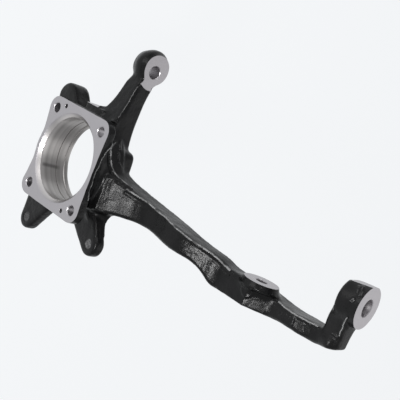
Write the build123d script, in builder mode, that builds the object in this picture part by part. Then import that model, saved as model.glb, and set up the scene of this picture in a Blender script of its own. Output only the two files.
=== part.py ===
from build123d import *
from math import atan, cos, degrees, radians, sin, tan
import os

# Steering knuckle of a light truck, left hand, one iron casting with machined faces.
# Frame: origin at the hub bore centre on the outboard face, +X outboard along the wheel
# axis, +Y towards the brake caliper side, +Z up along the long arm. Lengths are in mm.

# Hub: flange plate, barrel and stepped bore
bore_diameter = 93.0
bore_lip_diameter = 91.0
bore_lip_length = 5.0
bore_chamfer = 4.0
groove_depth = 0.7
groove_width = 2.0
groove_position = 25.0
hub_length = 42.5
through_cut = 85.0
flange_thickness = 10.0
barrel_wall = 9.0
barrel_chamfer = 3.0
bolt_spacing_y = 91.0
bolt_spacing_z = 88.0
bolt_hole_diameter = 11.0
hole_run_out = 2.0
bolt_hole_chamfer = 0.9
bolt_lug_radius = 13.5
flange_upper_waist = 1.6
flange_lower_waist = 5.4
pin_hole_diameter = 5.0
pin_hole_y = 52.0
pin_hole_z = 28.5

# Ball joint bosses, both on the leaning kingpin axis
kingpin_lean = 9.0
joint_taper = 1 / 8
boss_bevel = 2.5
upper_joint_rise = 12.0
upper_boss_diameter = 45.0
upper_boss_height = 25.0
upper_taper_mouth = 18.2
upper_boss_flat = 21.4
upper_flat_tilt = 6.5
lower_joint_z = -93.0
lower_boss_diameter = 33.0
lower_boss_height = 21.0
lower_taper_mouth = 17.0
lower_taper_cut = 42.0
lower_spotface_radius = 14.5
lower_spotface_height = 26.0

# Web from the barrel down to the lower boss: height, front, rear, outboard, inboard
web_sections = (
    (-40.0, -36.0, 34.0, -12.0, -41.0),
    (-64.0, -30.0, 28.0, -19.0, -46.0),
    (-84.0, -23.0, 22.0, -32.0, -54.0),
    (-105.0, -14.0, 14.0, -48.0, -68.0),
)
web_bevel = 4.0

# Long arm: height, front face, rear face, outboard face, inboard face of each section
arm_sections = (
    (44.0, -15.5, 40.0, -15.0, -56.0),
    (57.0, -7.0, 37.5, -18.5, -59.0),
    (72.0, -1.0, 34.0, -32.0, -67.5),
    (90.0, 4.5, 32.0, -48.0, -78.0),
    (126.0, 10.5, 35.0, -56.0, -86.0),
    (160.0, 17.0, 38.5, -62.5, -92.5),
    (176.0, 20.5, 43.0, -73.5, -100.0),
    (190.0, 24.0, 53.5, -83.0, -108.0),
    (210.0, 29.0, 54.5, -89.0, -115.0),
    (236.0, 30.0, 56.0, -95.5, -126.0),
    (253.0, 33.0, 55.5, -106.0, -134.0),
    (268.0, 35.5, 54.0, -109.0, -138.0),
    (296.0, 36.5, 54.5, -114.5, -144.0),
    (318.0, 38.0, 54.0, -119.0, -143.0),
    (334.0, 38.0, 51.0, -120.5, -141.5),
)
arm_bevel = 3.0
arm_cap_height = 4.0
arm_cap_draft = 40.0

# Neck from the top of the arm forward to the upper boss: reach from the wheel axis, then
# outboard face, inboard face, bottom and top measured from the joint's centre
neck_sections = (
    (48.0, 6.5, -11.0, -32.0, -7.5),
    (28.0, 13.5, -12.0, -31.0, -7.0),
    (8.0, 18.0, -13.0, -26.5, -3.0),
)
neck_bevel = 4.0

# Bracket pad on the front of the long arm
pad_diameter = 38.0
pad_face = 25.5
pad_x = -105.5
pad_z = 238.0
pad_length = 8.0
pad_draft = 25.0
pad_hole_diameter = 12.5
pad_hole_depth = 18.0

# Tie rod arm: reach, outboard face, inboard face, underside and top of each section
tie_sections = (
    (-112.0, -38.0, -61.0, 10.0, 32.5),
    (-96.0, -32.5, -55.5, 8.0, 33.0),
    (-66.0, -25.0, -53.5, 0.0, 33.5),
    (-46.0, -16.0, -54.0, -14.0, 34.0),
    (-22.0, -12.0, -54.0, -24.0, 42.0),
)
tie_bevel = 3.0
tie_hole_x = -51.5
tie_hole_y = -123.0
tie_face = 31.0
tie_boss_x = -53.0
tie_boss_y = -126.3
tie_boss_height = 25.0
tie_boss_radius = 20.5
tie_boss_top_radius = 16.5
tie_boss_bottom_radius = 15.5
tie_boss_shoulder = 6.0
tie_boss_skirt = 13.0
tie_taper_mouth = 14.4
tie_spotface_radius = 21.0
tie_spotface_height = 20.0

# Caliper ears
ear_face = -29.0
ear_thickness = 14.0
ear_radius = 13.5
ear_rounding = 2.5
ear_dimple_diameter = 13.0
ear_dimple_depth = 1.0
ear_hole_diameter = 12.5
ear_hole_depth = 11.0
upper_ear_y = 75.0
upper_ear_z = 56.5
upper_ear_root_y = 47.0
upper_ear_root_z = 28.0
upper_ear_root_radius = 21.0
lower_ear_y = 93.0
lower_ear_z = -65.5
lower_ear_root_y = 46.0
lower_ear_root_z = -50.0
lower_ear_root_radius = 29.0
ear_web_thickness = 17.0
ear_web_draft = 38.0
ear_web_back = -44.0
ear_web_outline = (
    (32.5, 71.0),
    (20.0, 71.0),
    (20.0, 20.0),
    (55.0, 20.0),
    (70.0, 50.0),
    (62.0, 61.0),
)
ear_web_hollow = (48.0, 57.0)

# Front lobe, sensor pad and the knob behind the arm root
lobe_y = -59.5
lobe_z = -61.5
lobe_root_y = -30.0
lobe_root_z = -31.0
lobe_radius = 16.0
lobe_face = -19.0
lobe_thickness = 22.0
lobe_rounding = 2.5
sensor_pad_face = 64.5
sensor_pad_width = 20.0
sensor_pad_length = 36.0
sensor_pad_corner = 5.0
sensor_pad_x = -29.0
sensor_pad_z = -6.0
sensor_pad_root = 32.0
sensor_hole_diameter = 6.8
sensor_hole_depth = 11.0
knob_radius = 8.2
knob_y = -24.0
knob_z = 39.0
knob_root_radius = 5.0
knob_root_y = -13.0
knob_root_z = 43.5
knob_root_x = -45.0
knob_length = 13.0
knob_rounding = 4.0

chamfer_angle = 45.0

_, _, _, arm_top_outboard, arm_top_inboard = arm_sections[-1]
upper_joint_x = (arm_top_outboard + arm_top_inboard) / 2
upper_joint_z = arm_sections[-1][0] + upper_joint_rise
lean = Vector(-sin(radians(kingpin_lean)), 0, cos(radians(kingpin_lean)))
lower_joint_x = upper_joint_x + (upper_joint_z - lower_joint_z) * tan(radians(kingpin_lean))
hub_plane = Plane(origin=(0, 0, 0), x_dir=(0, 1, 0), z_dir=(1, 0, 0))
upper_plane = Plane(origin=(upper_joint_x, 0, upper_joint_z), x_dir=(0, 1, 0), z_dir=lean)
flat_tilt = radians(upper_flat_tilt)
flat_plane = Plane(
    origin=(upper_joint_x, -upper_boss_flat, upper_joint_z),
    x_dir=upper_plane.y_dir,
    z_dir=-(lean * sin(flat_tilt) + Vector(0, cos(flat_tilt), 0)),
)
lower_plane = Plane(origin=(lower_joint_x, 0, lower_joint_z), x_dir=(0, 1, 0), z_dir=lean)
taper_angle = degrees(atan(joint_taper / 2))
barrel_radius = bore_diameter / 2 + barrel_wall
half_y = bolt_spacing_y / 2
half_z = bolt_spacing_z / 2
edge_y = half_y + bolt_lug_radius
edge_z = half_z + bolt_lug_radius


def front_plane(reach):
    return Plane(origin=(0, reach, 0), x_dir=(1, 0, 0), z_dir=(0, -1, 0))


# Flange: four rounded lugs joined by straight front and rear sides and by waisted ends
with BuildPart() as flange:
    with BuildSketch(hub_plane):
        with BuildLine():
            Line((edge_y, -half_z), (edge_y, half_z))
            CenterArc((half_y, half_z), bolt_lug_radius, 0, 90)
            ThreePointArc((half_y, edge_z), (0, edge_z - flange_upper_waist), (-half_y, edge_z))
            CenterArc((-half_y, half_z), bolt_lug_radius, 90, 90)
            Line((-edge_y, half_z), (-edge_y, -half_z))
            CenterArc((-half_y, -half_z), bolt_lug_radius, 180, 90)
            ThreePointArc((-half_y, -edge_z), (0, flange_lower_waist - edge_z), (half_y, -edge_z))
            CenterArc((half_y, -half_z), bolt_lug_radius, 270, 90)
        make_face()
    extrude(amount=-flange_thickness)

# Barrel behind the flange
with BuildPart() as barrel:
    with BuildSketch(hub_plane):
        Circle(barrel_radius)
    extrude(amount=-hub_length)
    chamfer(barrel.faces().sort_by(Axis.X)[0].edges(), barrel_chamfer)

# Long arm, one loft through its level sections, closed by a drafted cap
with BuildPart() as long_arm:
    for height, front, rear, outboard, inboard in arm_sections:
        with BuildSketch(Plane.XY.offset(height)) as level:
            with Locations(((outboard + inboard) / 2, (front + rear) / 2)):
                Rectangle(outboard - inboard, rear - front)
            chamfer(level.vertices(), arm_bevel)
    loft()
    with BuildSketch(Plane.XY.offset(height)) as level:
        with Locations(((outboard + inboard) / 2, (front + rear) / 2)):
            Rectangle(outboard - inboard, rear - front)
        chamfer(level.vertices(), arm_bevel)
    extrude(amount=arm_cap_height, taper=arm_cap_draft)

# Neck that turns forward from the top of the arm to the upper boss
with BuildPart() as neck:
    for reach, outboard, inboard, bottom, top in neck_sections:
        with BuildSketch(front_plane(reach)) as section:
            with Locations((upper_joint_x + (outboard + inboard) / 2,
                            upper_joint_z + (bottom + top) / 2)):
                Rectangle(outboard - inboard, top - bottom)
            chamfer(section.vertices(), neck_bevel)
    loft()

with BuildPart() as upper_boss:
    with BuildSketch(upper_plane):
        Circle(upper_boss_diameter / 2)
    extrude(amount=-upper_boss_height)
    chamfer(upper_boss.faces().sort_by(Axis.Z)[0].edges(), boss_bevel)

# Lower boss and the web that carries it under the barrel
with BuildPart() as lower_boss:
    with BuildSketch(lower_plane):
        Circle(lower_boss_diameter / 2)
    extrude(amount=-lower_boss_height)
    chamfer(lower_boss.faces().sort_by(Axis.Z)[0].edges(), boss_bevel)

with BuildPart() as web:
    for height, front, rear, outboard, inboard in web_sections:
        with BuildSketch(Plane.XY.offset(height)) as level:
            with Locations(((outboard + inboard) / 2, (front + rear) / 2)):
                Rectangle(outboard - inboard, rear - front)
            chamfer(level.vertices(), web_bevel)
    loft()

# Tie rod arm with its round boss
with BuildPart() as tie_arm:
    for reach, outboard, inboard, bottom, top in tie_sections:
        with BuildSketch(front_plane(reach)) as section:
            with Locations(((outboard + inboard) / 2, (bottom + top) / 2)):
                Rectangle(outboard - inboard, top - bottom)
            chamfer(section.vertices(), tie_bevel)
    loft()

with BuildPart() as tie_boss:
    with BuildSketch(front_plane(tie_boss_y)):
        with BuildLine():
            Polyline(
                (tie_boss_x, tie_face),
                (tie_boss_x + tie_boss_top_radius, tie_face),
                (tie_boss_x + tie_boss_radius, tie_face - tie_boss_shoulder),
                (tie_boss_x + tie_boss_radius, tie_face - tie_boss_skirt),
                (tie_boss_x + tie_boss_bottom_radius, tie_face - tie_boss_height),
                (tie_boss_x, tie_face - tie_boss_height),
                close=True,
            )
        make_face()
    revolve(axis=Axis((tie_boss_x, tie_boss_y, 0), (0, 0, 1)))

# Two caliper ears and the front lobe, flat tabs that run out of the barrel
with BuildPart() as ears:
    for tip, root, root_radius in (
        ((upper_ear_y, upper_ear_z), (upper_ear_root_y, upper_ear_root_z), upper_ear_root_radius),
        ((lower_ear_y, lower_ear_z), (lower_ear_root_y, lower_ear_root_z), lower_ear_root_radius),
    ):
        with BuildSketch(hub_plane.offset(ear_face)):
            with BuildLine():
                CenterArc(tip, ear_radius, 0, 360)
                CenterArc(root, root_radius, 0, 360)
            make_hull()
        extrude(amount=-ear_thickness)
    fillet(ears.faces().filter_by_position(Axis.X, ear_face, ear_face).edges(), ear_rounding)

# Sloping web in the corner between the upper ear and the root of the long arm
with BuildPart() as ear_web:
    with BuildSketch(hub_plane.offset(ear_web_back)):
        with BuildLine():
            Polyline(*ear_web_outline)
            ThreePointArc(ear_web_outline[-1], ear_web_hollow, ear_web_outline[0])
        make_face()
    extrude(amount=ear_web_thickness, taper=ear_web_draft)

with BuildPart() as front_lobe:
    with BuildSketch(hub_plane.offset(lobe_face)):
        with BuildLine():
            CenterArc((lobe_y, lobe_z), lobe_radius, 0, 360)
            CenterArc((lobe_root_y, lobe_root_z), lobe_radius, 0, 360)
        make_hull()
    extrude(amount=-lobe_thickness)
    fillet(front_lobe.faces().sort_by(Axis.X)[-1].edges(), lobe_rounding)

with BuildPart() as sensor_pad:
    with BuildSketch(front_plane(-sensor_pad_face)):
        with Locations((sensor_pad_x, sensor_pad_z)):
            RectangleRounded(sensor_pad_width, sensor_pad_length, sensor_pad_corner)
    extrude(amount=sensor_pad_root - sensor_pad_face)

with BuildPart() as bracket_pad:
    with BuildSketch(front_plane(pad_face)):
        with Locations((pad_x, pad_z)):
            Circle(pad_diameter / 2)
    extrude(amount=-pad_length, taper=-pad_draft)

with BuildPart() as knob:
    with BuildSketch(hub_plane.offset(knob_root_x)):
        with BuildLine():
            CenterArc((knob_y, knob_z), knob_radius, 0, 360)
            CenterArc((knob_root_y, knob_root_z), knob_root_radius, 0, 360)
        make_hull()
    extrude(amount=-knob_length)
    fillet(knob.faces().sort_by(Axis.X)[0].edges(), knob_rounding)

# The casting, then what is machined into it
with BuildPart() as knuckle:
    for piece in (barrel, flange, long_arm, neck, upper_boss, lower_boss, web, tie_arm,
                  tie_boss, ears, ear_web, front_lobe, sensor_pad, bracket_pad, knob):
        add(piece.part)

    # stepped hub bore, open behind the hub for the drive shaft
    with BuildSketch(hub_plane):
        Circle(bore_lip_diameter / 2)
    extrude(amount=-through_cut, mode=Mode.SUBTRACT)
    with BuildSketch(hub_plane):
        Circle(bore_diameter / 2)
    extrude(amount=bore_lip_length - hub_length, mode=Mode.SUBTRACT)
    with BuildSketch(hub_plane.offset(-groove_position)):
        Circle(bore_diameter / 2 + groove_depth)
    extrude(amount=-groove_width, mode=Mode.SUBTRACT)

    # ball joint and tie rod tapers, wide at the top
    with BuildSketch(upper_plane):
        Circle(upper_taper_mouth / 2)
    extrude(amount=-upper_boss_height, taper=taper_angle, mode=Mode.SUBTRACT)
    with BuildSketch(lower_plane):
        Circle(lower_taper_mouth / 2)
    extrude(amount=-lower_taper_cut, taper=taper_angle, mode=Mode.SUBTRACT)
    with BuildSketch(lower_plane):
        Circle(lower_spotface_radius)
    extrude(amount=lower_spotface_height, mode=Mode.SUBTRACT)
    with BuildSketch(Plane((0, 0, tie_face))):
        with Locations((tie_hole_x, tie_hole_y)):
            Circle(tie_taper_mouth / 2)
    extrude(amount=-tie_boss_height, taper=taper_angle, mode=Mode.SUBTRACT)

    # bolt holes right through the flange, chamfered, and two pin holes
    with BuildSketch(hub_plane):
        with GridLocations(bolt_spacing_y, bolt_spacing_z, 2, 2):
            Circle(bolt_hole_diameter / 2)
    extrude(amount=-flange_thickness - hole_run_out, mode=Mode.SUBTRACT)
    with BuildSketch(hub_plane):
        with GridLocations(bolt_spacing_y, bolt_spacing_z, 2, 2):
            Circle(bolt_hole_diameter / 2 + bolt_hole_chamfer)
    extrude(amount=-bolt_hole_chamfer, taper=chamfer_angle, mode=Mode.SUBTRACT)
    with BuildSketch(hub_plane):
        with Locations((pin_hole_y, pin_hole_z), (-pin_hole_y, -pin_hole_z)):
            Circle(pin_hole_diameter / 2)
    extrude(amount=-flange_thickness - hole_run_out, mode=Mode.SUBTRACT)
    with BuildSketch(hub_plane):
        Circle(bore_diameter / 2 + bore_chamfer)
    extrude(amount=-bore_chamfer, taper=chamfer_angle, mode=Mode.SUBTRACT)

    # milled flat beside the tie rod hole and the flat on the upper boss
    with BuildSketch(Plane((tie_hole_x, tie_hole_y, tie_face))):
        Circle(tie_spotface_radius)
    extrude(amount=tie_spotface_height, mode=Mode.SUBTRACT)

    with BuildSketch(flat_plane):
        Rectangle(upper_boss_diameter, 3 * upper_boss_height)
    extrude(amount=upper_boss_diameter / 2, mode=Mode.SUBTRACT)

    # blind threaded holes: caliper ears from behind, sensor pad and bracket pad from the front
    ear_back = ear_face - ear_thickness
    with BuildSketch(hub_plane.offset(ear_back)):
        with Locations((upper_ear_y, upper_ear_z), (lower_ear_y, lower_ear_z)):
            Circle(ear_hole_diameter / 2)
    extrude(amount=ear_hole_depth, mode=Mode.SUBTRACT)
    with BuildSketch(hub_plane.offset(ear_face)):
        with Locations((upper_ear_y, upper_ear_z), (lower_ear_y, lower_ear_z)):
            Circle(ear_dimple_diameter / 2)
    extrude(amount=-ear_dimple_depth, mode=Mode.SUBTRACT)
    with BuildSketch(front_plane(-sensor_pad_face)):
        with Locations((sensor_pad_x, sensor_pad_z)):
            Circle(sensor_hole_diameter / 2)
    extrude(amount=-sensor_hole_depth, mode=Mode.SUBTRACT)
    with BuildSketch(front_plane(pad_face)):
        with Locations((pad_x, pad_z)):
            Circle(pad_hole_diameter / 2)
    extrude(amount=-pad_hole_depth, mode=Mode.SUBTRACT)

os.makedirs("parts", exist_ok=True)
knuckle.part.label = "steering_knuckle"
export_step(knuckle.part, "parts/steering_knuckle.step")
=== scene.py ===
from math import pi, radians
import bpy
import bmesh
import numpy as np
from mathutils import Matrix


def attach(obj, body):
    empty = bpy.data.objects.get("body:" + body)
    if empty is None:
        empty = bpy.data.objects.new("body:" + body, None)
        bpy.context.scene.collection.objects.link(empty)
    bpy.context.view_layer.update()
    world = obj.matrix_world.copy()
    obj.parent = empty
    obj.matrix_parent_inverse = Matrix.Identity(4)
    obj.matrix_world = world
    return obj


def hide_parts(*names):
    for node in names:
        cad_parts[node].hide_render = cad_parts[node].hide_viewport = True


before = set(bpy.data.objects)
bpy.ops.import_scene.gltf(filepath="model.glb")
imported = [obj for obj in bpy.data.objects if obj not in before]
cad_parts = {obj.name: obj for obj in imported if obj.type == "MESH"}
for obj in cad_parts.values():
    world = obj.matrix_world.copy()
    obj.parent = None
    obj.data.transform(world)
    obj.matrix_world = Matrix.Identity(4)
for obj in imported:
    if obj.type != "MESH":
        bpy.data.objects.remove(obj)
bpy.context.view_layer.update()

mm = 0.001
far = 999.0  # millimetres, beyond every place on the part
clear = 1.0  # millimetres that a cut starts outside the face it goes into
print("frame loaded")

axisX = np.array([1.0, 0.0, 0.0])
axisY = np.array([0.0, 1.0, 0.0])
axisZ = np.array([0.0, 0.0, 1.0])
# how the photograph looks at the part: its right, its upward and the way back to the camera
view = dict(right=(-0.6791, -0.3746, 0.6313), up=(0.1626, -0.9154, -0.3682),
            back=(0.7158, -0.1473, 0.6826))


def sideways(along):
    # two unit vectors across a direction, so that the three make a right-handed set
    along = np.asarray(along, float) / np.linalg.norm(along)
    first = np.cross(axisZ if abs(along[2]) < 0.9 else axisY, along)
    first /= np.linalg.norm(first)
    return first, np.cross(along, first), along


def turned(profile, origin, along, segments=144):
    # a profile of (radius, height) carried round an axis:
    # point = origin + height * along + radius * (cos a * across + sin a * over)
    across, over, along = sideways(along)
    radius, height = np.array(profile, float).T
    angle = np.linspace(0, 2 * pi, segments, endpoint=False)
    ring = np.cos(angle)[:, None] * across + np.sin(angle)[:, None] * over
    points = np.asarray(origin, float) + height[:, None, None] * along
    return closedTube(points + radius[:, None, None] * ring)


def prism(outline, low, high, origin, across, over):
    # a flat outline (counter-clockwise) carried straight along its normal, from low to high
    across, over = np.asarray(across, float), np.asarray(over, float)
    outline = np.array(outline, float)
    flat = outline[:, :1] * across + outline[:, 1:] * over
    along = np.cross(across, over)
    points = np.asarray(origin, float) + np.stack([flat + low * along, flat + high * along])
    return closedTube(points)


def closedTube(points):
    # rings of points joined by quads, with a flat cap on the first and the last ring
    reflectionRings, count = points.shape[:2]
    number = np.arange(reflectionRings * count).reshape(reflectionRings, count)
    nextOne = np.roll(number, -1, axis=1)
    quads = np.stack([number[:-1], nextOne[:-1], nextOne[1:], number[1:]], axis=-1)
    faces = quads.reshape(-1, 4).tolist() + [number[0][::-1].tolist(), number[-1].tolist()]
    return points.reshape(-1, 3), faces


def roundedOutline(halfWidth, halfHeight, corner, steps=10):
    # four quarter circles round the corners of a rectangle
    turn = np.linspace(0, pi / 2, steps)
    corners = []
    for quarter, (sideX, sideY) in enumerate(((1, 1), (-1, 1), (-1, -1), (1, -1))):
        angle = turn + quarter * pi / 2
        corners.append(np.stack([sideX * (halfWidth - corner) + corner * np.cos(angle),
                                 sideY * (halfHeight - corner) + corner * np.sin(angle)], axis=1))
    return np.concatenate(corners)


def together(shapes):
    # several closed shapes as one set of points and faces
    points, faces, start = [], [], 0
    for shapePoints, shapeFaces in shapes:
        points.append(shapePoints)
        faces += [[start + corner for corner in face] for face in shapeFaces]
        start += len(shapePoints)
    return np.concatenate(points), faces


def objectOf(name, points, faces):
    # a new object in the scene, from points in millimetres
    mesh = bpy.data.meshes.new(name)
    mesh.from_pydata((np.asarray(points, float) * mm).tolist(), [], faces)
    mesh.update()
    made = bpy.data.objects.new(name, mesh)
    bpy.context.scene.collection.objects.link(made)
    return made


def applyModifiers(made):
    # the object keeps the mesh that its modifiers give
    graph = bpy.context.evaluated_depsgraph_get()
    mesh = bpy.data.meshes.new_from_object(made.evaluated_get(graph))
    made.modifiers.clear()
    made.data = mesh


# The machined places, in millimetres, at the sizes of the CAD part. The last values of each say
# how deep the raw casting's stock reaches there, what closes its hole, and where the cuts end
hub = dict(bore=46.5, lip=45.5, lipLength=5.0, length=42.5, chamfer=4.0, groove=0.7,
           grooveWidth=2.0, groovePlace=25.0, boltY=45.5, boltZ=44.0, boltHole=5.5,
           boltChamfer=0.9, pin=2.5, pinY=52.0, pinZ=28.5, pinChamfer=0.3, lug=13.5,
           upperWaist=1.6, lowerWaist=5.4, plate=10.0,
           grooveSlope=0.3, lipSlope=0.6, outside=5.0, through=90.0, pinMouth=1.3, past=2.0,
           plug=50.0, plugBack=41.5, overlap=0.5, boreSides=256, boltSides=64, pinSides=48)
upperJoint = dict(place=(-131.0, 0.0, 346.0), radius=22.5, mouth=9.1, depth=30.0, flat=21.4,
                  flatTilt=6.5, flatSide=32.0, flatBelow=40.0, flatAbove=12.0, flatDepth=14.0,
                  sink=20.0, plug=12.0, plugDepth=24.0)
lowerJoint = dict(place=(-61.47, 0.0, -93.0), radius=16.5, mouth=8.5, depth=24.0, lead=0.6,
                  nutSeat=14.5, nutClear=26.0, sink=18.0, proud=1.0)
tieJoint = dict(place=(-51.5, -123.0, 31.0), middle=(-53.0, -126.3, 31.0), radius=16.5,
                mouth=7.2, depth=30.0, sink=24.0, draft=2.5, rim=1.0)
bracketPad = dict(place=(-105.5, 25.5, 238.0), radius=19.0, hole=6.25, depth=18.0,
                  root=1.0, rootDepth=3.0, draft=0.8, plug=8.0, plugDepth=20.0)
sensorPad = dict(place=(-29.0, -64.5, -6.0), width=10.0, height=12.5, drop=5.5, corner=5.0,
                 hole=3.4, depth=11.0, sink=15.0, slab=(14.0, 14.5), slabDrop=8.5)
ears = dict(places=((75.0, 56.5), (93.0, -65.5)), face=-29.0, back=-43.0, hole=6.25,
            depth=11.0, tip=1.2, plug=9.0, sides=64, lighterShare=(0.95, 0.5),
            mark=((7.0, 1.0), (6.5, 0.1), (5.5, -0.9), (0.1, -1.3)))
facing = dict(slab=80.0, depth=9.0, upper=30.0, tie=21.0, tieDepth=12.0, pad=26.0)
# fuller places of the arm's outboard face: outline as (z, x), and where it lies along Y
armSwells = (
    (((44, -40.0), (66, -40.0), (66, -26.0), (60, -18.0), (44, -17.0)), -4, 35),
    (((200, -100.0), (256, -114.0), (256, -105.5), (238, -90.0), (212, -89.0), (200, -88.0)),
     29, 54),
)
taper = 1 / 16
lean = np.array([-0.156434, 0.0, 0.987688])  # the kingpin axis, 9 degrees off upright
stock = 3.0  # how far the casting stands proud of each face before that face is cut


def flangeOutline(lugSteps=14, endSteps=22):
    # four lugs, straight sides, and waisted ends: inset = waist * (1 - (y / boltY) squared)
    edgeZ = hub["boltZ"] + hub["lug"]
    turn = np.linspace(0, pi / 2, lugSteps)
    quarters = ((0, 1, 1), (pi / 2, -1, 1), (pi, -1, -1), (3 * pi / 2, 1, -1))
    lugs = [np.stack([hub["boltY"] * signY + hub["lug"] * np.cos(turn + start),
                      hub["boltZ"] * signZ + hub["lug"] * np.sin(turn + start)], axis=1)
            for start, signY, signZ in quarters]
    along = np.linspace(1, -1, endSteps)[1:-1]
    inset = 1 - along ** 2
    top = np.stack([hub["boltY"] * along, edgeZ - hub["upperWaist"] * inset], axis=1)
    bottom = np.stack([-hub["boltY"] * along, hub["lowerWaist"] * inset - edgeZ], axis=1)
    return np.concatenate([lugs[0], top, lugs[1], lugs[2], bottom, lugs[3]])


def castingStock():
    # plugs that close the machined holes again and the extra metal on the machined faces
    upper, lower, tie, pad = upperJoint, lowerJoint, tieJoint, bracketPad
    sensorOutline = roundedOutline(sensorPad["width"], sensorPad["height"], sensorPad["corner"])
    shapes = [
        turned([(hub["plug"], -hub["plugBack"]), (hub["plug"], stock)], (0, 0, 0), axisX),
        prism(flangeOutline(), -hub["plate"] + hub["overlap"], stock, (0, 0, 0), axisY, axisZ),
        turned([(upper["radius"], -upper["sink"]), (upper["radius"], stock)],
               upper["place"], lean),
        turned([(upper["plug"], -upper["plugDepth"]), (upper["plug"], 0)], upper["place"], lean),
        turned([(lower["radius"], -lower["sink"]), (lower["radius"], lower["proud"])],
               lower["place"], lean),
        turned([(tie["radius"] - tie["draft"], -tie["sink"]), (tie["radius"], -tie["rim"]),
                (tie["radius"], stock)], tie["middle"], axisZ),
        turned([(pad["radius"] + pad["root"], -pad["rootDepth"]),
                (pad["radius"] - pad["draft"], stock)], pad["place"], -axisY),
        turned([(pad["plug"], -pad["plugDepth"]), (pad["plug"], 0)], pad["place"], -axisY),
        prism(sensorOutline - (0, sensorPad["drop"]), -sensorPad["sink"], stock,
              sensorPad["place"], axisX, axisZ),
    ]
    for outline, low, high in armSwells:
        shapes.append(prism(outline, low, high, (0, 0, 0), axisZ, axisX))
    for earY, earZ in ears["places"]:
        shapes.append(turned([(ears["plug"], 0), (ears["plug"], ears["face"] - ears["back"])],
                             (ears["back"], earY, earZ), axisX))
    return shapes


def copyOfCad(weld=0.001):
    # a welded copy of the CAD mesh, in millimetres
    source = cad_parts["steering_knuckle"].data
    shape = bmesh.new()
    shape.from_mesh(source)
    bmesh.ops.remove_doubles(shape, verts=shape.verts, dist=weld * mm)
    points = np.array([vertex.co[:] for vertex in shape.verts]) / mm
    faces = [[vertex.index for vertex in face.verts] for face in shape.faces]
    shape.free()
    return points, faces


# The cast skin. The soft boxes, each from its low to its high corner, are rounder than the
# rest: the neck, the knob, the ears, the tie rod boss, the front lobe and the bracket pad
casting = dict(voxel=1.2, blendRounds=70, blendShare=0.6, blendBias=0.004, normalEvery=5,
               roundRounds=9, roundIn=0.55, roundOut=0.52, softRounds=14, softShare=0.5,
               softBoxes=(((-far, 12, 314), (far, far, far)), ((-far, -38, 24), (-40, -8, 56)),
                          ((-far, 62, -far), (far, far, 100)),
                          ((-far, -far, -far), (far, -104, far)),
                          ((-far, -far, -far), (far, -40, -40)),
                          ((-106, 28, 212), (far, 40, 262))))
blank = objectOf("casting", *together([copyOfCad()] + castingStock()))
remesh = blank.modifiers.new("skin", "REMESH")
remesh.mode = "VOXEL"
remesh.voxel_size = casting["voxel"] * mm
applyModifiers(blank)
print("casting skin", len(blank.data.polygons))


def meshArrays(mesh):
    # a mesh's points in millimetres, and its edges as pairs of point numbers
    points = np.empty(len(mesh.vertices) * 3)
    mesh.vertices.foreach_get("co", points)
    edges = np.empty(len(mesh.edges) * 2, np.int32)
    mesh.edges.foreach_get("vertices", edges)
    return points.reshape(-1, 3) / mm, edges.reshape(-1, 2)


def vertexNormals(mesh, points):
    # the points go into the mesh, which works out a normal for each
    mesh.vertices.foreach_set("co", (points * mm).ravel())
    mesh.update()
    normals = np.empty(len(points) * 3, np.float32)
    mesh.vertex_normals.foreach_get("vector", normals)
    return normals.reshape(-1, 3).astype(float)


def inBox(points, low, high):
    # which points lie between two opposite corners
    return ((points > np.array(low)) & (points < np.array(high))).all(axis=1)


def towardsNeighbours(points, edges):
    # for every point, the way to the mean of the points that it shares an edge with
    first, second = edges.T
    count = np.bincount(edges.ravel(), minlength=len(points))[:, None]
    total = np.stack([np.bincount(first, points[second, axis], len(points))
                      + np.bincount(second, points[first, axis], len(points))
                      for axis in range(3)], axis=1)
    return total / np.maximum(count, 1) - points


def smoothCasting(made):
    # inner corners fill up first, as in a mould, and then every edge is rounded a little:
    # a point moves by a share of the way to the mean of its neighbours, at first only outwards
    points, edges = meshArrays(made.data)
    for turn in range(casting["blendRounds"]):
        if turn % casting["normalEvery"] == 0:
            normals = vertexNormals(made.data, points)
        outward = (towardsNeighbours(points, edges) * normals).sum(axis=1) - casting["blendBias"]
        points = points + casting["blendShare"] * np.maximum(outward, 0)[:, None] * normals
    for turn in range(casting["roundRounds"]):
        # one step in and one step out, so that the shape doesn't shrink
        points = points + casting["roundIn"] * towardsNeighbours(points, edges)
        points = points - casting["roundOut"] * towardsNeighbours(points, edges)
    soft = np.any([inBox(points, low, high) for low, high in casting["softBoxes"]], axis=0)
    for turn in range(casting["softRounds"]):
        points = points + casting["softShare"] * soft[:, None] * towardsNeighbours(points, edges)
    return points, vertexNormals(made.data, points)


points, normals = smoothCasting(blank)
print("casting blended")

# Seams where the two halves of the mould met, each a ridge with a hollow beside it. A corner
# seam follows the skin's furthest points in one direction, inside a box, from level to level
# along an axis. A drawn seam joins a few corners. Both end with: the way that the hollow
# lies, the ridge's height, the hollow's depth and the width as shares, and how strongly a
# highlight is painted on its crest
seams = dict(ridgeHeight=1.7, ridgeWidth=1.25, grooveDepth=1.3, grooveWidth=1.7, spacing=0.7,
             cornerRounds=6, drawnRounds=12, skinRounds=5)
cornerSeams = (
    ((-far, -14, -far), (-20, far, far), (1, -1, 0), 2, 74, 210,
     (-0.3, 3.4, 0), 1.0, 1.0, 1.0, 1.0),
    ((-far, 30, -far), (-20, far, far), (1, -1, 0), 2, 262, 312,
     (-0.3, 3.4, 0), 1.0, 1.0, 1.0, 1.0),
    ((-far, -14, 60), (-20, far, far), (-1, 1, 0), 2, 70, 326,
     (0.2, -3.4, 0), 0.5, 0.3, 1.0, 0.8),
    ((-far, -far, -10), (far, far, far), (1, 0, 1), 1, -104, -62,
     (-3.0, 0, -0.2), 0.6, 0.6, 0.9, 0.75),
)
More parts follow.
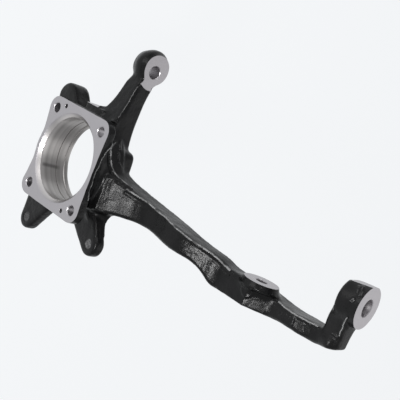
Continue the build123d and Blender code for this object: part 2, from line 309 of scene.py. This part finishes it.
rootSeam = ((-26.8, -37.8, 40.6), (-21.0, -33.2, 44.4), (-19.5, -28.2, 47.7),
            (-20.3, -20.5, 51.6), (-22.1, -15.7, 53.2), (-26.7, -9.5, 56.0),
            (-29.9, -5.2, 62.3), (-36.7, -2.2, 69.9), (-42.0, 0.2, 76.0))
rimSeam = ((-14.0, -38.0, 54.0), (-9.6, -35.7, 57.0), (-6.4, -30.9, 56.8), (-4.0, -18.5, 56.2),
           (-3.4, -6.8, 56.1), (-3.4, 4.8, 56.1), (-4.2, 16.2, 56.1), (-6.5, 26.4, 56.6))
neckSeam = ((-111.4, 12.5, 342.1), (-118.1, 23.4, 337.5), (-120.7, 33.8, 336.0))
drawnSeams = (
    (rootSeam, (1.9, 2.4, 1.2), 1.0, 1.0, 1.0, 1.0),
    (rimSeam, (-3.4, 0, 0), 0.9, 0.6, 0.9, 0.9),
    (neckSeam, (2.0, 0, 2.0), 1.0, 0.5, 0.8, 1.0),
)
# the front side of the arm is a little fuller than its CAD section between two levels
fuller = dict(low=(-far, -14, -far), high=(-20, far, far), start=50, end=235, run=25, rise=0.9)
# short ribs, and low round marks as (middle, radius, height, height of the rim)
marks = dict(
    ribWidth=1.2, ribHeight=1.5, ribHighlightShare=0.68, edge=1.2, rimInset=0.8, rimWidth=1.0,
    ribs=(((-36.9, -42.1, 36.1), (-33.8, -38.1, 40.3), (-34.1, -32.7, 44.8)),
          ((-31.0, -29.3, 47.1), (-32.3, -22.7, 50.6)),
          ((-32.7, -19.7, 51.9), (-36.5, -16.2, 53.0)),
          ((-25.6, -58.8, 33.5), (-21.7, -58.2, 28.5)),
          ((-115.8, -17.7, 338.1), (-111.0, -12.1, 340.9)),
          ((-118.1, -19.0, 340.4), (-110.7, -10.4, 345.0)),
          ((-107.9, -3.1, 339.8), (-109.0, -6.4, 342.2)),
          ((-119.7, 34.8, 329.6), (-120.6, 36.3, 334.9)),
          ((-111.5, 40.0, 285.5), (-112.2, 43.5, 288.6), (-111.9, 47.0, 288.2))),
    discs=(((-91.0, 37.3, 236.5), 7.5, 0.9, 0.7), ((-109.8, 41.6, 280.7), 3.4, -0.2, 0.9),
           ((-109.2, 44.6, 272.9), 2.2, 0.6, 0.0)))
waves = dict(height=0.12, seed=7, count=14, shortest=9, longest=26, calm=4)


def evened(path, rounds):
    # every inner point moves to the mean of itself and its two neighbours, again and again
    for turn in range(rounds):
        path[1:-1] = (path[:-2] + path[1:-1] + path[2:]) / 3
    return path


def resampled(places, path, wanted):
    # the path's points at the wanted places along it
    return np.stack([np.interp(wanted, places, path[:, side]) for side in range(3)], axis=1)


def cornerPath(points, low, high, direction, axis, start, end, step=2.0):
    # at each level along an axis, the point that lies furthest in one direction
    levels = np.arange(start, end, step)
    places = inBox(points, low, high)
    reach = points @ np.array(direction)
    path = []
    for level in levels:
        near = places & (np.abs(points[:, axis] - level) < step)
        path.append(points[near][np.argmax(reach[near])])
    path = np.array(path)
    path[:, axis] = levels
    wanted = np.linspace(start + step, end - step, int((end - start) / seams["spacing"]))
    return resampled(levels, evened(path, seams["cornerRounds"]), wanted)


def drawnPath(corners):
    # straight pieces between a few corners, as close points, a little evened out
    corners = np.array(corners, float)
    pieces = np.linalg.norm(np.diff(corners, axis=0), axis=1)
    length = np.concatenate([[0], np.cumsum(pieces)])
    wanted = np.linspace(0, length[-1], int(length[-1] / seams["spacing"]) + 2)
    return evened(resampled(length, corners, wanted), seams["drawnRounds"])


def distanceTo(points, path, reach=6):
    # shortest distance from each point to a path of close points, worked out only near the path
    distance = np.full(len(points), far)
    near = inBox(points, path.min(axis=0) - reach, path.max(axis=0) + reach)
    gap = points[near][:, None, :] - path[None, :, :]
    distance[near] = np.sqrt((gap ** 2).sum(axis=2).min(axis=1))
    return distance


def ontoSkin(points, path, reach=8, sightShare=0.9):
    # each point of a path goes to the skin point nearest to it, where a distance along the
    # photograph's line of sight counts for little
    near = points[inBox(points, path.min(axis=0) - reach, path.max(axis=0) + reach)]
    gap = near[:, None, :] - path[None, :, :]
    apart = (gap ** 2).sum(axis=2) - sightShare * (gap @ np.array(view["back"])) ** 2
    return evened(near[apart.argmin(axis=0)], seams["skinRounds"])


def partingLines(points, normals):
    # ridge = height * e to the power of minus (distance / width) squared, moved along the normal
    z = points[:, 2]
    rise = np.clip((z - fuller["start"]) / fuller["run"], 0, 1)
    rise = rise * np.clip((fuller["end"] - z) / fuller["run"], 0, 1)
    rise = rise * inBox(points, fuller["low"], fuller["high"])
    rise = fuller["rise"] * rise * np.clip(-normals[:, 1], 0, 1)
    moved = points + rise[:, None] * normals
    paintedCrestHighlight = np.zeros(len(points))
    rows = [(cornerPath(points, *row[:6]), *row[6:]) for row in cornerSeams]
    rows += [(drawnPath(row[0]), *row[1:]) for row in drawnSeams]
    for path, beside, height, depth, share, lighterShare in rows:
        path = ontoSkin(points, path)
        ridge = np.exp(-(distanceTo(points, path) / (share * seams["ridgeWidth"])) ** 2)
        hollow = distanceTo(points, path + np.array(beside)) / (share * seams["grooveWidth"])
        moved += height * seams["ridgeHeight"] * ridge[:, None] * normals
        moved -= depth * seams["grooveDepth"] * np.exp(-hollow ** 2)[:, None] * normals
        # the crest of the ridge carries a painted highlight
        paintedCrestHighlight = np.maximum(paintedCrestHighlight, lighterShare * ridge)
    return moved, paintedCrestHighlight


def castMarks(points, normals):
    # the ribs have the same bell-shaped section as the seams; a disc has a sloped edge and a rim
    lift = np.zeros(len(points))
    for path in marks["ribs"]:
        near = distanceTo(points, ontoSkin(points, drawnPath(path))) / marks["ribWidth"]
        lift = np.maximum(lift, marks["ribHeight"] * np.exp(-near ** 2))
    # the ribs' crests carry a painted highlight as well
    paintedCrestHighlight = marks["ribHighlightShare"] * lift / marks["ribHeight"]
    for middle, radius, height, rim in marks["discs"]:
        away = np.linalg.norm(points - ontoSkin(points, np.array([middle])), axis=1)
        lift += height * np.clip((radius - away) / marks["edge"], 0, 1)
        lift += rim * np.exp(-((away - radius + marks["rimInset"]) / marks["rimWidth"]) ** 2)
    return lift[:, None] * normals, paintedCrestHighlight


def castWaves(points, normals):
    # slow swells of a cast skin, with waves that cross each other:
    # point - height * (1 + sum of sin(2 pi * distance / length + phase) / calm) * normal
    swell = np.zeros(len(points))
    generator = np.random.default_rng(waves["seed"])
    for turn in range(waves["count"]):
        direction = generator.normal(size=3)
        direction /= np.linalg.norm(direction)
        length = generator.uniform(waves["shortest"], waves["longest"])
        swell += np.sin(points @ direction * 2 * pi / length + generator.uniform(0, 2 * pi))
    return points - waves["height"] * (1 + swell / waves["calm"])[:, None] * normals


lift, ribHighlight = castMarks(points, normals)
points, seamHighlight = partingLines(points, normals)
points = castWaves(points + lift, vertexNormals(blank.data, points + lift))
blank.data.vertices.foreach_set("co", (points * mm).ravel())
# the crests' painted highlight goes to the paint as an attribute
paintedCrestHighlight = blank.data.attributes.new("paintedCrestHighlight", "FLOAT", "POINT")
paintedCrestHighlight.data.foreach_set("value", np.maximum(seamHighlight, ribHighlight))
blank.data.update()
print("seams raised")

bareMetal, painted = 1, 0  # the two finishes, by the number of their material slot


def cutter(name, shapes):
    # closed cutting shapes in one object; each shape comes with the number of its finish
    made = objectOf(name, *together([shape for shape, finish in shapes]))
    finishes = np.concatenate([np.full(len(shape[1]), finish, np.int32)
                               for shape, finish in shapes])
    made.data.polygons.foreach_set("material_index", finishes)
    shape = bmesh.new()
    shape.from_mesh(made.data)
    bmesh.ops.recalc_face_normals(shape, faces=shape.faces)
    shape.to_mesh(made.data)
    shape.free()
    return made


def cutWith(made, tool):
    # the tool is taken away from the object, and each new face has the tool's finish
    cut = made.modifiers.new("cut", "BOOLEAN")
    cut.operation = "DIFFERENCE"
    cut.solver = "EXACT"
    cut.material_mode = "INDEX"
    cut.object = tool
    applyModifiers(made)
    bpy.data.objects.remove(tool)


def facingCuts():
    # every flat that is milled: the flange, both upper faces, the two pads
    square = np.array([(-1, -1), (1, -1), (1, 1), (-1, 1)], float)
    sensorSlab = square * sensorPad["slab"] - (0, sensorPad["slabDrop"])
    depth = facing["depth"]
    shapes = [
        prism(square * facing["slab"], 0, depth, (0, 0, 0), axisY, axisZ),
        turned([(facing["upper"], 0), (facing["upper"], depth)], upperJoint["place"], lean),
        turned([(facing["tie"], 0), (facing["tie"], facing["tieDepth"])],
               tieJoint["place"], axisZ),
        turned([(facing["pad"], 0), (facing["pad"], depth)], bracketPad["place"], -axisY),
        prism(sensorSlab, 0, depth, sensorPad["place"], axisX, axisZ),
    ]
    return [(shape, bareMetal) for shape in shapes]


def drilled(radius, depth, lead=0.8, tip=1.6, tipRadius=0.1):
    # a blind hole with a lead-in and a drill's cone at the bottom
    return [(radius + lead + clear, clear), (radius, -lead), (radius, -depth),
            (tipRadius, -depth - tip)]


def tapered(mouth, depth, lead=0.7, outside=2 * clear):
    # a hole that narrows by one part in sixteen of its depth, each side
    return [(mouth + lead + outside, outside), (mouth - lead * taper, -lead),
            (mouth - depth * taper, -depth)]


def boreProfile():
    # chamfer, wall, groove, wall again and the narrower inner lip, from the mouth inwards
    bore, lip, groove = hub["bore"], hub["lip"], hub["bore"] + hub["groove"]
    step = hub["lipLength"] - hub["length"]
    grooveStart = -hub["groovePlace"]
    grooveEnd = -hub["groovePlace"] - hub["grooveWidth"]
    return [(bore + hub["chamfer"] + hub["outside"], hub["outside"]),
            (bore, -hub["chamfer"]), (bore, grooveStart),
            (groove, grooveStart - hub["grooveSlope"]),
            (groove, grooveEnd + hub["grooveSlope"]), (bore, grooveEnd),
            (bore, step + hub["lipSlope"]), (lip, step), (lip, -hub["through"])]


def flatCut():
    # the flat on the front side of the upper boss, a slab that leans a little to the boss
    tilt = radians(upperJoint["flatTilt"])
    flatUp = np.cos(tilt) * lean - np.sin(tilt) * axisY
    side, below, above = (upperJoint[name] for name in ("flatSide", "flatBelow", "flatAbove"))
    outline = np.array([(-side, -below), (side, -below), (side, above), (-side, above)], float)
    return prism(outline, 0, upperJoint["flatDepth"],
                 np.array(upperJoint["place"]) - upperJoint["flat"] * axisY,
                 np.cross(axisY, lean), flatUp)


def holeCuts():
    # every hole, the flat on the upper boss and the shallow marks on the ears
    lower = lowerJoint
    lowerProfile = [(lower["nutSeat"], lower["nutClear"]), (lower["nutSeat"], 0),
                    (lower["mouth"] + lower["lead"], 0), (lower["mouth"], -lower["lead"]),
                    (lower["mouth"] - lower["depth"] * taper, -lower["depth"])]
    metal = [
        turned(boreProfile(), (0, 0, 0), axisX, hub["boreSides"]),
        turned(tapered(upperJoint["mouth"], upperJoint["depth"]), upperJoint["place"], lean),
        turned(lowerProfile, lower["place"], lean),
        turned(tapered(tieJoint["mouth"], tieJoint["depth"]), tieJoint["place"], axisZ),
        turned(drilled(bracketPad["hole"], bracketPad["depth"]), bracketPad["place"], -axisY),
        turned(drilled(sensorPad["hole"], sensorPad["depth"]), sensorPad["place"], -axisY),
        flatCut(),
    ]
    wide, bottom = hub["boltHole"] + hub["boltChamfer"], -hub["plate"] - hub["past"]
    bolt = [(wide + clear, clear), (hub["boltHole"], -hub["boltChamfer"]),
            (hub["boltHole"], bottom)]
    pin = [(hub["pin"] + hub["pinMouth"], clear), (hub["pin"], -hub["pinChamfer"]),
           (hub["pin"], bottom)]
    for signY in (-1, 1):
        for signZ in (-1, 1):
            place = (0, signY * hub["boltY"], signZ * hub["boltZ"])
            metal.append(turned(bolt, place, axisX, hub["boltSides"]))
        place = (0, signY * hub["pinY"], signY * hub["pinZ"])
        metal.append(turned(pin, place, axisX, hub["pinSides"]))
    shapes = [(shape, bareMetal) for shape in metal]
    for earY, earZ in ears["places"]:
        shapes.append((turned(drilled(ears["hole"], ears["depth"], tip=ears["tip"]),
                              (ears["back"], earY, earZ), -axisX, ears["sides"]), bareMetal))
        shapes.append((turned(ears["mark"], (ears["face"], earY, earZ), axisX, ears["sides"]),
                       painted))
    return shapes


def sharpenCuts(made, crisp=radians(24), sliver=0.002):
    # edges of the cut faces stay crisp, the cast skin is smooth all over
    shape = bmesh.new()
    shape.from_mesh(made.data)
    bmesh.ops.dissolve_degenerate(shape, dist=sliver * mm, edges=shape.edges)
    for edge in shape.edges:
        if len(edge.link_faces) != 2:
            continue
        cutSides = sum(face.material_index for face in edge.link_faces)
        bent = cutSides == 2 and edge.calc_face_angle(0) > crisp
        edge.smooth = not (cutSides == 1 or bent)
    for face in shape.faces:
        face.smooth = True
    shape.to_mesh(made.data)
    shape.free()


cutWith(blank, cutter("facing", facingCuts()))
cutWith(blank, cutter("holes", holeCuts()))
sharpenCuts(blank)
print("faces milled and holes cut", len(blank.data.polygons))


class Wire:
    # one output of a node; arithmetic on it adds Math nodes

    def __init__(self, shader, socket):
        self.shader, self.socket = shader, socket

    def math(self, operation, *others, swap=False):
        # a Math node on this value and the others, in this order or the reverse
        values = [self, *others]
        if swap:
            values.reverse()
        settings = dict(operation=operation)
        return self.shader.node("ShaderNodeMath", settings, dict(enumerate(values)))

    def __add__(self, other):
        return self.math("ADD", other)

    def __radd__(self, other):
        return self.math("ADD", other)

    def __sub__(self, other):
        return self.math("SUBTRACT", other)

    def __rsub__(self, other):
        return self.math("SUBTRACT", other, swap=True)

    def __mul__(self, other):
        return self.math("MULTIPLY", other)

    def __rmul__(self, other):
        return self.math("MULTIPLY", other)

    def __pow__(self, other):
        return self.math("POWER", other)

    def between(self, low, high):
        # 0 below low, 1 above high, a smooth step between them
        return self.shader.node("ShaderNodeMapRange", dict(interpolation_type="SMOOTHSTEP"),
                                {"Value": self, "From Min": low, "From Max": high})


class Shader:
    # a material or world tree with one way to add any node

    def __init__(self, owner):
        owner.use_nodes = True
        self.owner, self.tree = owner, owner.node_tree
        self.tree.nodes.clear()

    def node(self, kind, settings={}, inputs={}, output=0):
        # settings come first, then each input gets its value or its link
        made = self.tree.nodes.new(kind)
        for name, value in settings.items():
            setattr(made, name, value)
        for name, value in inputs.items():
            if isinstance(value, Wire):
                self.tree.links.new(value.socket, made.inputs[name])
            else:
                made.inputs[name].default_value = value
        return Wire(self, made.outputs[output])

    def noise(self, place, scale, detail, roughness):
        return self.node("ShaderNodeTexNoise", {}, {"Vector": place, "Scale": scale,
                                                    "Detail": detail, "Roughness": roughness})

    def mixed(self, share, first, second):
        # the first colour where the share is 0, the second where it is 1
        inputs = {0: share, 6: first, 7: second}
        return self.node("ShaderNodeMix", dict(data_type="RGBA"), inputs, 2)

    def splitPlace(self):
        # the place on the piece, whole and as its x, y and z
        place = self.node("ShaderNodeTexCoord", output="Object")
        return (place, *(self.node("ShaderNodeSeparateXYZ", {}, {"Vector": place}, name)
                         for name in "XYZ"))

    def bump(self, height, distance, strength):
        return self.node("ShaderNodeBump", {}, {"Height": height, "Distance": distance,
                                                "Strength": strength})

    def surface(self, wire, kind="ShaderNodeOutputMaterial"):
        end = self.tree.nodes.new(kind)
        self.tree.links.new(wire.socket, end.inputs["Surface"])
        return self.owner


# Near-black gloss paint. Each noise is (scale, detail, roughness), each pair is a smooth step
# the grey for the crests is a painted highlight
paint = dict(black=(0.0033, 0.0033, 0.0035, 1), dust=(0.0085, 0.0082, 0.0085, 1),
             crestHighlightColour=(0.27, 0.27, 0.27, 1), spot=(0.17, 0.17, 0.172, 1), roughness=0.28,
             spread=0.12, grainSpread=0.10, specular=0.22, bump=0.00032,
             grain=(620, 3, 0.6), pebble=(210, 2, 0.5), swell=(45, 2, 0.5),
             patch=(22, 3, 0.55), highlightBreakup=(170, 2, 0.6), patchStep=(0.42, 0.66),
             smoothGrain=0.35, pebbleHeight=1.4, swellHeight=2.2, patchDust=0.5,
             pebbleDust=0.8, crestStep=(0.5, 0.86), highlightBreakupStep=(0.30, 0.56), highlightBreakupLeast=0.25,
             spotRim=(0.0044, 0.0060), spotPlace=(-0.0345, -0.0335), spotGrain=(0.30, 0.62))


def paintedCasting():
    # gloss paint, rougher, grainier and a little dusty in the patches, with a painted highlight
    # on the crests
    shader = Shader(bpy.data.materials.new("paintedCasting"))
    place, x, y, z = shader.splitPlace()
    grain = shader.noise(place, *paint["grain"])
    pebble = shader.noise(place, *paint["pebble"])
    swell = shader.noise(place, *paint["swell"])
    patch = shader.noise(place, *paint["patch"]).between(*paint["patchStep"])
    height = (grain * (paint["smoothGrain"] + (1 - paint["smoothGrain"]) * patch)
              + pebble * paint["pebbleHeight"] + swell * paint["swellHeight"])
    roughness = (paint["roughness"] + paint["spread"] * patch
                 + paint["grainSpread"] * (grain - 0.5))
    dusty = patch * paint["patchDust"] + (pebble - 0.5) * paint["pebbleDust"]
    colour = shader.mixed(dusty, paint["black"], paint["dust"])
    # a painted highlight lies along the crests of the seams and ribs, here more and there less
    paintedCrestHighlight = shader.node("ShaderNodeAttribute", dict(attribute_name="paintedCrestHighlight"), {}, "Fac")
    highlightBreakup = shader.noise(place, *paint["highlightBreakup"]).between(*paint["highlightBreakupStep"])
    highlightBreakup = paint["highlightBreakupLeast"] + (1 - paint["highlightBreakupLeast"]) * highlightBreakup
    colour = shader.mixed(paintedCrestHighlight.between(*paint["crestStep"]) * highlightBreakup, colour, paint["crestHighlightColour"])
    # and the shallow marks on the ears get a lighter, grainy grey disc, the first ear more than
    # the second
    for (earY, earZ), lighterShare in zip(ears["places"], ears["lighterShare"]):
        radius = ((y - earY * mm) ** 2 + (z - earZ * mm) ** 2) ** 0.5
        spot = (1 - radius.between(*paint["spotRim"])) * x.between(*paint["spotPlace"])
        spot = spot * lighterShare * grain.between(*paint["spotGrain"])
        colour = shader.mixed(spot, colour, paint["spot"])
    return shader.surface(shader.node("ShaderNodeBsdfPrincipled", {}, {
        "Base Color": colour, "Roughness": roughness, "Specular IOR Level": paint["specular"],
        "Normal": shader.bump(height, paint["bump"], 1.0)}))


# Machined iron, in metres: flat faces with clouds and specks, and the bore's own wall with
# painted reflections: a bright band behind its mouth, lighter rings along its axis and one
# darker streak low on the rear side
iron = dict(colour=(0.44, 0.425, 0.44, 1), bright=(0.60, 0.585, 0.60, 1),
            bore=(0.30, 0.288, 0.28, 1), reflectionBand=(0.55, 0.53, 0.52, 1),
            darkReflectionStreak=(0.07, 0.066, 0.064, 1), roughness=0.42, boreRoughness=0.34,
            bump=0.00003, bumpStrength=0.8, boreCalm=0.85, boreRim=(0.0475, 0.0508),
            faceStep=(-0.0003, 0.0001), turning=(2600, 2, 0.6), broad=(420, 2, 0.6),
            cloud=(60, 3, 0.6), speck=(900, 2, 0.6), reflectionRings=(150, 1, 0.4),
            ringStep=(0.40, 0.66), ringShare=0.5, mouthStep=(-0.013, -0.007),
            cloudColour=0.5, speckColour=0.35, turningRough=0.14, cloudRough=0.10,
            broadRough=0.10, broadHeight=0.5, speckHeight=0.3, streakAcross=(0.89, 0.452),
            streakStep=(0.0004, 0.0036), streakLow=(0.0, 0.01), streakEnd=(-0.036, -0.024),
            streakStart=(0.005, 0.009), streakShare=0.6)


def machinedIron():
    # noise over (x, distance from the bore's axis) gives turning marks and the rings of painted
    # reflection, noise over the place gives clouds and specks
    shader = Shader(bpy.data.materials.new("machinedIron"))
    place, x, y, z = shader.splitPlace()
    radius = (y * y + z * z) ** 0.5
    inBore = (1 - radius.between(*iron["boreRim"])) * (1 - x.between(*iron["faceStep"]))
    ring = shader.node("ShaderNodeCombineXYZ", {}, {"X": x, "Y": radius, "Z": 0.0})
    turning = shader.noise(ring, *iron["turning"])
    broad = shader.noise(ring, *iron["broad"])
    cloud = shader.noise(place, *iron["cloud"])
    speck = shader.noise(place, *iron["speck"])
    brighter = (cloud - 0.5) * iron["cloudColour"] + (speck - 0.5) * iron["speckColour"]
    colour = shader.mixed(brighter, iron["colour"], iron["bright"])
    # lighter rings and a lighter band behind the mouth are painted reflections on the bore's wall
    reflectionRings = shader.noise(ring, *iron["reflectionRings"]).between(*iron["ringStep"]) * iron["ringShare"]
    reflectionBand = (reflectionRings + x.between(*iron["mouthStep"])).math("MINIMUM", 1.0)
    wall = shader.mixed(reflectionBand, iron["bore"], iron["reflectionBand"])
    # a painted dark reflection: a streak across the bore's wall, low on its rear side
    acrossY, acrossZ = iron["streakAcross"]
    darkReflectionStreak = 1 - (y * acrossY + z * acrossZ).math("ABSOLUTE").between(*iron["streakStep"])
    darkReflectionStreak = darkReflectionStreak * (0 - z).between(*iron["streakLow"]) * x.between(*iron["streakEnd"])
    darkReflectionStreak = darkReflectionStreak * (0 - x).between(*iron["streakStart"]) * iron["streakShare"]
    wall = shader.mixed(darkReflectionStreak, wall, iron["darkReflectionStreak"])
    colour = shader.mixed(inBore, colour, wall)
    roughness = (iron["roughness"] + (iron["boreRoughness"] - iron["roughness"]) * inBore
                 + iron["turningRough"] * (turning - 0.5) + iron["cloudRough"] * (cloud - 0.5)
                 + iron["broadRough"] * (broad - 0.5))
    height = turning + iron["broadHeight"] * broad + iron["speckHeight"] * speck
    height = height * (1 - iron["boreCalm"] * inBore)
    return shader.surface(shader.node("ShaderNodeBsdfPrincipled", {}, {
        "Base Color": colour, "Metallic": 1.0, "Roughness": roughness,
        "Normal": shader.bump(height, iron["bump"], iron["bumpStrength"])}))


# clearing the slots resets each face's finish, so the finishes are kept and set again
cutFaces = np.empty(len(blank.data.polygons), np.int32)
blank.data.polygons.foreach_get("material_index", cutFaces)
blank.data.materials.clear()
blank.data.materials.append(paintedCasting())
blank.data.materials.append(machinedIron())
blank.data.polygons.foreach_set("material_index", cutFaces)
blank.name = "knuckleCasting"
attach(blank, "root")
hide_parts("steering_knuckle")
print("finishes set")

# Places in metres. A lamp is how far right, up and back it stands as the photograph sees it,
# from the part's middle, then its size and its power
studio = dict(floor=-0.36, floorHalf=9.0, floorColour=(0.80, 0.81, 0.82, 1),
              background=(0.936, 0.953, 0.970, 1), seenShare=0.9,
              worldColour=(0.90, 0.91, 0.93, 1), worldStrength=0.5, lens=81.0, sensor=36.0,
              clip=(0.01, 50.0), camera=(0.5984, -0.1594, 0.7868), middle=(-0.075, 0.0, 0.12),
              lampDistance=1.1,
              lamps=((-0.22, -0.22, 0.95, 0.20, 7.2), (0.86, -0.49, -0.12, 0.8, 1.5),
                     (-0.55, 0.75, 0.9, 0.7, 3.5), (0.53, 0.51, 0.66, 0.3, 2.4)))


def floorFinish():
    # the camera, metal and glass see the pale background, everything else the lit surface
    shader = Shader(bpy.data.materials.new("paleFloor"))
    camera, glossy, transmission = (shader.node("ShaderNodeLightPath", output="Is %s Ray" % kind)
                                    for kind in ("Camera", "Glossy", "Transmission"))
    seen = camera.math("MAXIMUM", glossy).math("MAXIMUM", transmission) * studio["seenShare"]
    lit = shader.node("ShaderNodeBsdfDiffuse", {}, {"Color": studio["floorColour"]})
    pale = shader.node("ShaderNodeEmission", {}, {"Color": studio["background"],
                                                  "Strength": 1.0})
    return shader.surface(shader.node("ShaderNodeMixShader", {}, {0: seen, 1: lit, 2: pale}))


square = np.array([(-1, -1, 0), (1, -1, 0), (1, 1, 0), (-1, 1, 0)])
floorPoints = (square * studio["floorHalf"] + (0, 0, studio["floor"])) / mm
floor = objectOf("floor", floorPoints, [[0, 1, 2, 3]])
floor.data.materials.append(floorFinish())

world = bpy.data.worlds.new("studio")
bpy.context.scene.world = world
sky = Shader(world)
sky.surface(sky.node("ShaderNodeBackground", {}, {"Color": studio["worldColour"],
                                                  "Strength": studio["worldStrength"]}),
            "ShaderNodeOutputWorld")


def placed(made, columns):
    # an object's matrix from three directions and a place
    matrix = np.vstack([np.column_stack(columns), (0, 0, 0, 1)])
    made.matrix_world = Matrix(matrix.tolist())


def areaLamp(number, right, up, back, size, power):
    # a square soft lamp that faces the part's middle
    lamp = bpy.data.lights.new("softLamp%d" % number, "AREA")
    lamp.shape, lamp.size, lamp.energy = "SQUARE", size, power
    made = bpy.data.objects.new(lamp.name, lamp)
    bpy.context.scene.collection.objects.link(made)
    way = sum(np.array(view[side]) * share
              for side, share in (("right", right), ("up", up), ("back", back)))
    place = np.array(studio["middle"]) + studio["lampDistance"] * way
    placed(made, [*sideways(way), place])


for number, lamp in enumerate(studio["lamps"]):
    areaLamp(number, *lamp)

camera = bpy.data.objects.new("camera", bpy.data.cameras.new("camera"))
bpy.context.scene.collection.objects.link(camera)
camera.data.lens, camera.data.sensor_width = studio["lens"], studio["sensor"]
camera.data.clip_start, camera.data.clip_end = studio["clip"]
placed(camera, [view["right"], view["up"], view["back"], studio["camera"]])
bpy.context.scene.camera = camera
bpy.context.scene.view_settings.view_transform = "Standard"
print("studio ready")
